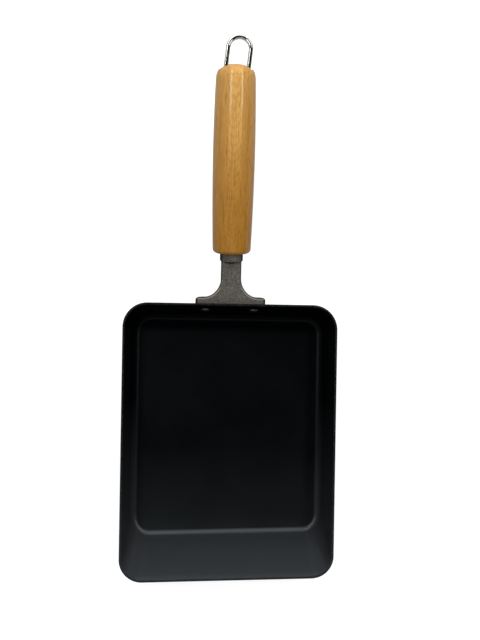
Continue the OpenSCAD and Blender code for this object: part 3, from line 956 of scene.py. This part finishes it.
@dataclass
class HandleBracket:
    """The casting: flange, hollows, neck, collar and the spigot in the handle."""

    wall: TiltedPlace
    handle: TiltedPlace
    flange_w: float = 49.6
    flange_t: float = 5.3
    flange_below: float = 9.5
    flange_corner_r: float = 3.0
    flange_edge_r: float = 1.5
    seat_edge_r: float = 0.5
    neck_w: float = 14.2
    neck_t: float = 10.4
    neck_corner_r: float = 1.8
    hollow_r: float = 12.8
    under_r: float = 7.0
    collar_d: float = 16.3
    collar_l: float = 5.6
    collar_edge_r: float = 0.4
    spigot_d: float = 10.0
    spigot_l: float = 14.0
    spigot_edge: float = 0.4
    bore_d: float = 5.1
    bore_end: float = -5.0
    spot_d: float = 9.6

    @property
    def arm_rise(self) -> float:
        """Angle of the arm from the straight way out of the wall, in radians."""
        return math.radians(self.handle.tilt + 90 - self.wall.tilt)

    def line_height(self, up: int, out: float) -> float:
        """Height up the wall of the arm's top line (up 1) or bottom line (up -1)."""
        end = self.handle.side_point(-self.collar_l, up * self.neck_t / 2)
        height, inwards = self.wall.to_place(end)
        return height + (out + inwards) * math.tan(self.arm_rise)

    def underside(self, out: float) -> float:
        """Height up the wall of the arm's underside: a hollow of radius r, then a line.

        The hollow touches the line at flange_t + r (1 - sin rise), and its height is
        centre + sqrt(r^2 - (flange_t + r - out)^2).
        """
        rise, r = self.arm_rise, self.under_r
        end = self.flange_t + r * (1 - math.sin(rise))
        if out >= end:
            return self.line_height(-1, out)
        centre = self.line_height(-1, end) - r * math.cos(rise)
        return centre + math.sqrt(max(0.0, r ** 2 - (self.flange_t + r - out) ** 2))

    def plate(self, out: float, inset: float) -> Section:
        """Section of the flange, whose top runs on in the plane of the arm's top."""
        return Section(self.wall.side_point(self.line_height(1, out), -out),
                       self.wall.side_point(inset - self.flange_below, -out),
                       self.flange_w / 2 - inset, self.flange_corner_r)

    def root(self, turn: float) -> Section:
        """Section of the arm's root, where two hollows run from the flange to the neck."""
        out = self.flange_t + self.hollow_r * (1 - math.cos(turn))
        return Section(self.wall.side_point(self.line_height(1, out), -out),
                       self.wall.side_point(self.underside(out), -out),
                       self.neck_w / 2 + self.hollow_r * (1 - math.sin(turn)),
                       self.neck_corner_r)

    def bar(self, y: float, half_w: float, half_t: float, radius: float) -> Section:
        """Section square to the handle's axis."""
        return Section(self.handle.side_point(y, half_t), self.handle.side_point(y, -half_t),
                       half_w, radius)

    def disc(self, y: float, radius: float) -> Section:
        """Round section about the handle's axis."""
        return self.bar(y, radius, radius, radius * 0.999)

    def sections(self) -> list[Section]:
        """Sections of the casting, from the wall to the bottom of the rod's bore."""
        seat, edge = self.seat_edge_r, self.flange_edge_r
        rows = [self.plate(seat * math.sin(turn), seat * (1 - math.sin(turn)))
                for turn in arc(0, 90, 4)]
        rows += [self.plate(self.flange_t - edge + edge * math.sin(turn),
                            edge * (1 - math.cos(turn))) for turn in arc(0, 90, 6)]
        rows += [self.root(turn) for turn in arc(6, 90, 16)]
        half_w, half_t = self.neck_w / 2, self.neck_t / 2
        rows += [self.bar(y, half_w, half_t, self.neck_corner_r)
                 for y in (-2.5 * self.collar_l, -1.25 * self.collar_l)]
        rows.append(self.bar(-self.collar_l, half_w, half_t, self.neck_t / 4))
        collar, round_r = self.collar_d / 2, self.collar_edge_r
        rows += [self.disc(-self.collar_l + round_r * (1 - math.cos(turn)),
                           collar - round_r * (1 - math.sin(turn))) for turn in arc(0, 90, 4)]
        rows += [self.disc(-round_r * (1 - math.sin(turn)),
                           collar - round_r * (1 - math.cos(turn))) for turn in arc(0, 90, 4)]
        spigot, bore = self.spigot_d / 2, self.bore_d / 2
        rows += [self.disc(y, radius) for y, radius in (
            (0.0, spigot), (self.spigot_l - self.spigot_edge, spigot),
            (self.spigot_l, spigot - self.spigot_edge), (self.spigot_l, bore),
            (self.bore_end, bore))]
        return rows

    def rings(self) -> np.ndarray:
        """Rings over the sections."""
        rows = self.sections()
        tops = np.array([row.top for row in rows])
        bottoms = np.array([row.bottom for row in rows])
        height = np.linalg.norm(tops - bottoms, axis=1)
        radii = np.minimum([row.radius for row in rows], height / 2 * 0.999)
        flat = rounded_rings(np.array([row.half_w for row in rows]), height / 2, radii)
        up = ((tops - bottoms) / height[:, None])[:, None]
        side = ((tops + bottoms) / 2)[:, None] + flat[..., 1:] * up
        return np.concatenate([flat[..., :1], side], -1)[:, ::-1]

    def build(self, rivets: Rivets) -> bpy.types.Object:
        """Builds the casting, with the holes and the seats of the rivets cut out."""
        sharp = 35.0
        piece = piece_of(skin("cast_bracket", self.rings()), sharp)
        seats = [rivets.hole(start, end, side, width) for side in Side
                 for start, end, width in (
                     (-1.0, self.flange_t + 1, None),
                     (self.flange_t, self.flange_t + self.hollow_r, self.spot_d))]
        cut(piece, sharp, *seats)
        top = self.neck_t / 2
        finish = CastingFinish(self.handle, top, -self.collar_l,
                               math.sqrt((self.collar_d / 2) ** 2 - top ** 2),
                               self.neck_w / 2, self.hollow_r, self.wall,
                               self.flange_t + self.hollow_r)
        dress(piece, finish.material())
        return piece


# Handle


@dataclass
class WoodHandle:
    """The turned wooden handle with its socket, bore and slot."""

    handle: TiltedPlace
    length: float = 131.2
    width: float = 29.3
    thickness: float = 26.0
    taper: float = 2.6
    belly: float = 70.0
    front_r: float = 2.8
    end_l: float = 12.0
    end_full: float = 2.9
    end_turn: float = 84.0
    socket_d: float = 10.1
    socket_l: float = 15.0
    bore_d: float = 6.0
    slot_depth: float = 15.7
    slot_half_w: float = 11.54
    slot_half_h: float = 5.267
    slot_corner_r: float = 2.6
    around: int = 96

    def rings(self) -> np.ndarray:
        """Rings along the handle: ellipses of half axes w/2 - loss and t/2 - loss.

        The loss is taper/2 ((y - belly) / reach)^2, plus r (1 - sin t) over the front
        round. The free end is a full round: a share cos(t)^(2/n) of the half axes at
        end_l (1 - sin(t)^(2/n)) from its end.
        """
        turn = arc(0, 90, 10)
        body = np.linspace(self.front_r, self.length - self.end_l, 60)[1:-1]
        last = arc(0, self.end_turn, 30)
        power = 2 / self.end_full
        y = np.concatenate([self.front_r * (1 - np.cos(turn)), body,
                            self.length - self.end_l * (1 - np.sin(last) ** power)])
        loss = np.concatenate([self.front_r * (1 - np.sin(turn)),
                               np.zeros(len(body) + len(last))])
        share = np.concatenate([np.ones(len(turn) + len(body)), np.cos(last) ** power])
        reach = np.where(y < self.belly, self.belly, self.length - self.belly)
        loss = loss + self.taper / 2 * ((y - self.belly) / reach) ** 2
        half = np.stack([self.width / 2 - loss, self.thickness / 2 - loss], -1)
        outlines = circles(share, self.around) * half[:, None]
        face = np.array([0.25, 0.6])[:, None, None]
        outlines = np.concatenate([outlines[:1] * face, outlines, outlines[-1:] * face[::-1]])
        return along_y(outlines, np.concatenate([y[[0, 0]], y, y[[-1, -1]]]))

    def cutters(self) -> list[bpy.types.Mesh]:
        """Socket, bore and slot."""
        slot_y = self.length - self.slot_depth
        slot = rounded_rings(np.full(2, self.slot_half_w), np.full(2, self.slot_half_h),
                             np.full(2, self.slot_corner_r))
        socket, bore = (circles(np.full(2, width / 2), self.around)
                        for width in (self.socket_d, self.bore_d))
        shapes = ((socket, -1.0, self.socket_l), (bore, self.socket_l - 1, slot_y + 1),
                  (slot, slot_y, self.length + 1))
        return [skin("handle_cutter", self.handle.to_frame(
            along_y(outlines, np.array([start, end])))) for outlines, start, end in shapes]

    def build(self) -> bpy.types.Object:
        """Builds the handle, cut and dressed."""
        sharp = 40.0
        piece = piece_of(skin("beech_handle", self.handle.to_frame(self.rings())), sharp)
        cut(piece, sharp, *self.cutters())
        dress(piece, BeechFinish(self.handle, self.length).material())
        return piece


@dataclass
class HangingLoop:
    """The flat wire loop with its two inward pins."""

    handle: TiltedPlace
    pin_y: float = 121.2
    width: float = 18.9
    reach: float = 30.2
    wire_t: float = 3.2
    wire_w: float = 4.8
    pin_d: float = 3.2
    tip: float = 1.3
    tip_edge: float = 0.2
    lean: float = 6.0
    droop: float = 14.0
    leg_steps: int = 13
    bend_steps: int = 44
    section_steps: int = 16
    section_power: float = 2.4
    finish: SteelFinish = field(default_factory=lambda: SteelFinish(
        "bright_plating", (0.58, 0.57, 0.55), (0.53, 0.52, 0.505), 0.06, 0.0008, 0.4, 0.3))

    @property
    def half(self) -> float:
        """Half the distance between the centres of the legs."""
        return (self.width - self.wire_t) / 2

    def swung(self, points: np.ndarray, leaning: bool = True) -> np.ndarray:
        """Takes points of the loop's own plane to where it hangs.

        They are turned by the lean about the plane's normal, and then by the droop
        about the pins.
        """
        x, y, z = np.moveaxis(points, -1, 0)
        c, s = math.cos(math.radians(self.lean)), math.sin(math.radians(self.lean))
        if leaning:
            x, y = x * c + y * s, y * c - x * s
        c, s = math.cos(math.radians(self.droop)), math.sin(math.radians(self.droop))
        y, z = y * c + z * s, z * c - y * s
        return self.handle.to_frame(np.stack([x, self.pin_y + y, z], -1))

    def wire(self) -> np.ndarray:
        """Rings of the wire, up the right leg, round the half circle and down the left.

        The section is a flat oval: two half rounds of radius t / 2, set w - t apart and
        a little fuller than circles.
        """
        half, lean, legs = self.half, math.radians(self.lean), self.leg_steps
        straight = (self.reach - self.width / 2) / math.cos(lean)
        foot, tail = half * math.tan(lean), self.wire_w / 2
        up = np.linspace(0, 1, legs + 1)
        bend = arc(0, 180, self.bend_steps)
        right_y = (foot - tail) * (1 - up) + straight * up
        left_y = straight * (1 - up) + (-foot - tail) * up
        centre_x = np.concatenate([np.full(legs, half), half * np.cos(bend),
                                   np.full(legs, -half)])
        centre_y = np.concatenate([right_y[:-1], straight + half * np.sin(bend), left_y[1:]])
        turn = np.concatenate([np.zeros(legs), bend, np.full(legs, math.pi)])
        round_turn = np.concatenate([arc(0, 180, self.section_steps),
                                     arc(180, 360, self.section_steps)])
        shift = np.repeat([1.0, -1.0], self.section_steps + 1)
        full = [np.sign(part) * np.abs(part) ** (2 / self.section_power)
                for part in (np.cos(round_turn), np.sin(round_turn))]
        flat = -(self.wire_t / 2) * full[0]
        deep = (self.wire_t / 2) * full[1] + shift * (self.wire_w - self.wire_t) / 2
        x = centre_x[:, None] + np.cos(turn)[:, None] * flat
        y = centre_y[:, None] + np.sin(turn)[:, None] * flat
        return np.stack([x, y, np.broadcast_to(deep, x.shape)], -1)

    def pin(self, side: Side) -> np.ndarray:
        """Rings of the pin that is turned inward at the end of a leg."""
        end = self.half / math.cos(math.radians(self.lean))
        radii = self.pin_d / 2 - np.array([self.tip_edge, 0.0, 0.0])
        rings = along_z(circles(radii, 24), np.array([self.tip, self.tip + self.tip_edge, end]))
        return np.stack([side.value * rings[..., 2], side.value * rings[..., 0],
                         rings[..., 1]], -1)

    def build(self) -> bpy.types.Object:
        """Builds the loop and its pins as one piece, dressed."""
        meshes = [skin("wire", self.swung(self.wire()))]
        meshes += [skin("pin", self.swung(self.pin(side), False)) for side in Side]
        piece = joined("wire_loop", meshes)
        dress(piece, self.finish.material())
        return piece


# Studio


def seen_rays(tree: bpy.types.NodeTree) -> bpy.types.NodeSocket:
    """1 for camera, glossy and transmission rays, and 0 for the rest."""
    path = tree.nodes.new("ShaderNodeLightPath")
    most = path.outputs["Is Camera Ray"]
    for name in ("Is Glossy Ray", "Is Transmission Ray"):
        step = tree.nodes.new("ShaderNodeMath")
        step.operation = "MAXIMUM"
        tree.links.new(most, step.inputs[0])
        tree.links.new(path.outputs[name], step.inputs[1])
        most = step.outputs[0]
    return most


@dataclass(frozen=True)
class SoftBox:
    """A flat lamp of even brightness.

    Attributes:
        name: its name.
        place: its centre in metres.
        aim: the point that it faces, in metres.
        width: its width in metres.
        length: its length in metres.
        radiance: its brightness, where a white floor in plain light has 1.
    """

    name: str
    place: Place
    aim: Place
    width: float
    length: float
    radiance: float

    def light(self) -> bpy.types.Object:
        """Sets the lamp up. Its power in watts is pi times brightness times area."""
        data = bpy.data.lights.new(self.name, "AREA")
        data.shape = "RECTANGLE"
        data.size, data.size_y = self.width, self.length
        data.energy = math.pi * self.radiance * self.width * self.length
        lamp = bpy.data.objects.new(self.name, data)
        lamp.location = self.place
        facing = Vector(self.aim) - Vector(self.place)
        lamp.rotation_euler = facing.to_track_quat("-Z", "Y").to_euler()
        lamp.visible_camera = False
        bpy.context.scene.collection.objects.link(lamp)
        return lamp


@dataclass
class Studio:
    """Camera, floor, world and lamps.

    Attributes:
        eye: place of the camera in millimetres.
        turn: its rotation in degrees.
        lens: its focal length in millimetres.
        floor_size: width of the floor in metres.
        floor_glow: how much of its white the floor has of its own, where it is seen.
        sky_low: brightness of the plain light all round.
        sky_rise: how much brighter that light is straight overhead.
        overhead: what is reflected from overhead, where the room is dark.
        left_grey: what is reflected from the left, where the room is grey.
        boxes: the lamps.
    """

    eye: Place = (-34.8, 77.9, 933.0)
    turn: Place = (-0.13, -2.64, 0.95)
    lens: float = 71.83
    floor_size: float = 3.0
    floor_glow: float = 0.82
    sky_low: float = 0.06
    sky_rise: float = 0.42
    overhead: float = 0.010
    left_grey: float = 0.30
    boxes: tuple[SoftBox, ...] = (
        SoftBox("key_back", (0.0, 1.23, 0.92), (0.0, 0.05, 0.0), 1.2, 0.9, 2.3),
        SoftBox("strip_left", (-0.45, 0.20, 1.03), (-0.45, 0.20, 0.0), 0.20, 0.44, 10.0),
        SoftBox("strip_right", (0.63, 0.20, 1.03), (0.63, 0.20, 0.0), 0.18, 0.44, 11.0),
        SoftBox("end_left", (-0.45, 1.08, 1.03), (-0.45, 1.08, 0.0), 0.17, 1.04, 11.0),
        SoftBox("end_right", (0.63, 1.08, 1.03), (0.63, 1.08, 0.0), 0.17, 1.04, 11.0),
        SoftBox("bar_back", (0.0, 1.6, 0.43), (0.0, 0.05, 0.0), 0.9, 0.12, 3.5),
        SoftBox("fill_front", (0.0, -0.62, 1.1), (0.0, 0.0, 0.0), 1.2, 0.4, 0.9))

    def camera(self) -> bpy.types.Object:
        """The camera above the pan, turned as the photograph shows it."""
        data = bpy.data.cameras.new("eye")
        data.lens = self.lens
        data.sensor_width = 36.0
        data.clip_start = 0.02
        camera = bpy.data.objects.new("eye", data)
        camera.location = [v * MM for v in self.eye]
        camera.rotation_euler = [math.radians(v) for v in self.turn]
        bpy.context.scene.collection.objects.link(camera)
        bpy.context.scene.camera = camera
        return camera

    def floor(self) -> bpy.types.Object:
        """A plain white floor that keeps a soft shadow.

        Where it is seen, a glow is added to a darker floor, so that open floor clips to
        white. To all other light it is a plain white floor.
        """
        half = self.floor_size / 2
        below = -0.3 * MM
        mesh = bpy.data.meshes.new("floor")
        mesh.from_pydata([(-half, -half, below), (half, -half, below),
                          (half, half, below), (-half, half, below)], [], [[0, 1, 2, 3]])
        floor = bpy.data.objects.new("floor", mesh)
        bpy.context.scene.collection.objects.link(floor)
        material = bpy.data.materials.new("white_floor")
        material.use_nodes = True
        tree = material.node_tree
        tree.nodes.clear()
        plain = tree.nodes.new("ShaderNodeBsdfDiffuse")
        plain.inputs["Color"].default_value = (0.34, 0.34, 0.34, 1)
        shaded = tree.nodes.new("ShaderNodeBsdfDiffuse")
        shaded.inputs["Color"].default_value = (0.36, 0.36, 0.36, 1)
        glow = tree.nodes.new("ShaderNodeEmission")
        glow.inputs["Strength"].default_value = self.floor_glow
        both = tree.nodes.new("ShaderNodeAddShader")
        mix = tree.nodes.new("ShaderNodeMixShader")
        output = tree.nodes.new("ShaderNodeOutputMaterial")
        tree.links.new(shaded.outputs[0], both.inputs[0])
        tree.links.new(glow.outputs[0], both.inputs[1])
        tree.links.new(seen_rays(tree), mix.inputs[0])
        tree.links.new(plain.outputs[0], mix.inputs[1])
        tree.links.new(both.outputs[0], mix.inputs[2])
        tree.links.new(mix.outputs[0], output.inputs["Surface"])
        floor.data.materials.append(material)
        return floor

    def world(self) -> None:
        """A white surround that is dark overhead in reflections, and plain light.

        Reflections see white up to the height low + rise y^2 of their direction, which
        is higher behind the handle and in front of the pan than at the sides.
        """
        low, rise = 0.07, 0.14
        world = bpy.data.worlds.new("studio")
        bpy.context.scene.world = world
        world.use_nodes = True
        tree = world.node_tree
        tree.nodes.clear()

        def count(kind: str, first: object, second: object) -> bpy.types.NodeSocket:
            """Adds a Math node over sockets or numbers."""
            step = tree.nodes.new("ShaderNodeMath")
            step.operation = kind
            for socket, value in zip(step.inputs, (first, second)):
                if isinstance(value, bpy.types.NodeSocket):
                    tree.links.new(value, socket)
                else:
                    socket.default_value = value
            return step.outputs[0]

        split = tree.nodes.new("ShaderNodeSeparateXYZ")
        tree.links.new(tree.nodes.new("ShaderNodeTexCoord").outputs["Generated"],
                       split.inputs[0])
        ahead = count("MULTIPLY", split.outputs["Y"], split.outputs["Y"])
        limit = count("ADD", count("MULTIPLY", ahead, rise), low)
        above = count("DIVIDE", split.outputs["Z"], limit)
        ramp = tree.nodes.new("ShaderNodeMapRange")
        ramp.clamp = True
        tree.links.new(above, ramp.inputs["Value"])
        for name, number in (("From Min", 0.8), ("From Max", 1.3), ("To Min", 1.0)):
            ramp.inputs[name].default_value = number
        room = tree.nodes.new("ShaderNodeMapRange")
        room.clamp = True
        tree.links.new(split.outputs["X"], room.inputs["Value"])
        for name, number in (("From Min", -0.12), ("From Max", -0.55),
                             ("To Min", self.overhead), ("To Max", self.left_grey)):
            room.inputs[name].default_value = number
        tree.links.new(room.outputs[0], ramp.inputs["To Max"])
        path = tree.nodes.new("ShaderNodeLightPath")
        white = count("MAXIMUM", ramp.outputs[0], path.outputs["Is Camera Ray"])

        seen = tree.nodes.new("ShaderNodeBackground")
        seen.inputs["Color"].default_value = (1, 1, 1, 1)
        light = tree.nodes.new("ShaderNodeBackground")
        light.inputs["Color"].default_value = (1, 0.99, 0.975, 1)
        tree.links.new(count("ADD", count("MULTIPLY", count("MAXIMUM", split.outputs["Z"], 0.0),
                                          self.sky_rise), self.sky_low),
                       light.inputs["Strength"])
        mix = tree.nodes.new("ShaderNodeMixShader")
        output = tree.nodes.new("ShaderNodeOutputWorld")
        tree.links.new(white, seen.inputs["Strength"])
        tree.links.new(seen_rays(tree), mix.inputs[0])
        tree.links.new(light.outputs[0], mix.inputs[1])
        tree.links.new(seen.outputs[0], mix.inputs[2])
        tree.links.new(mix.outputs[0], output.inputs["Surface"])

    def build(self) -> None:
        """Sets up everything around the pan."""
        self.floor()
        self.world()
        for box in self.boxes:
            box.light()
        bpy.context.scene.view_settings.view_transform = "Standard"


# Whole


def settle(piece: bpy.types.Object, body: str, slot: str, *nodes: str) -> None:
    """Joins a piece to its body and hides the nodes that it stands for."""
    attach(piece, body)
    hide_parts(*nodes)
    LOG.info("%s on %s: %d faces", piece.name, body, len(piece.data.polygons))


def main() -> None:
    """Builds the studio and every piece."""
    logging.basicConfig(level=logging.INFO, format="%(name)s: %(message)s")
    studio = Studio()
    studio.camera()
    studio.build()

    pan = PanShell()
    rivet_height = 17.0
    wall = pan.back_wall(rivet_height)
    handle = TiltedPlace(pan.rim_back + 36.0, 31.5, 13.0)
    rivets = Rivets(wall)
    bracket = HandleBracket(wall, handle)

    holes = [rivets.hole(-pan.sheet - 1, 1.0, side) for side in Side]
    settle(pan.build(holes), "pan", "pan_iron", "pan_body")
    settle(bracket.build(rivets), "pan", "bracket_casting", "handle_bracket")
    for side in Side:
        settle(rivets.build(side, pan.sheet, bracket.flange_t), "pan", "rivet_steel",
               f"rivet_{side.name.lower()}")
    settle(WoodHandle(handle).build(), "pan", "handle_wood", "wood_handle")
    settle(HangingLoop(handle).build(), "loop", "loop_chrome", "hanging_loop")
    rod = SteelFinish("rod_steel", (0.56, 0.55, 0.53), (0.34, 0.33, 0.31), 0.25, 0.006)
    for node in ("tie_rod", "rod_washer"):
        dress(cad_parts[node], rod.material())
        LOG.info("%s keeps its solid", node)


if __name__ == "__main__":
    main()
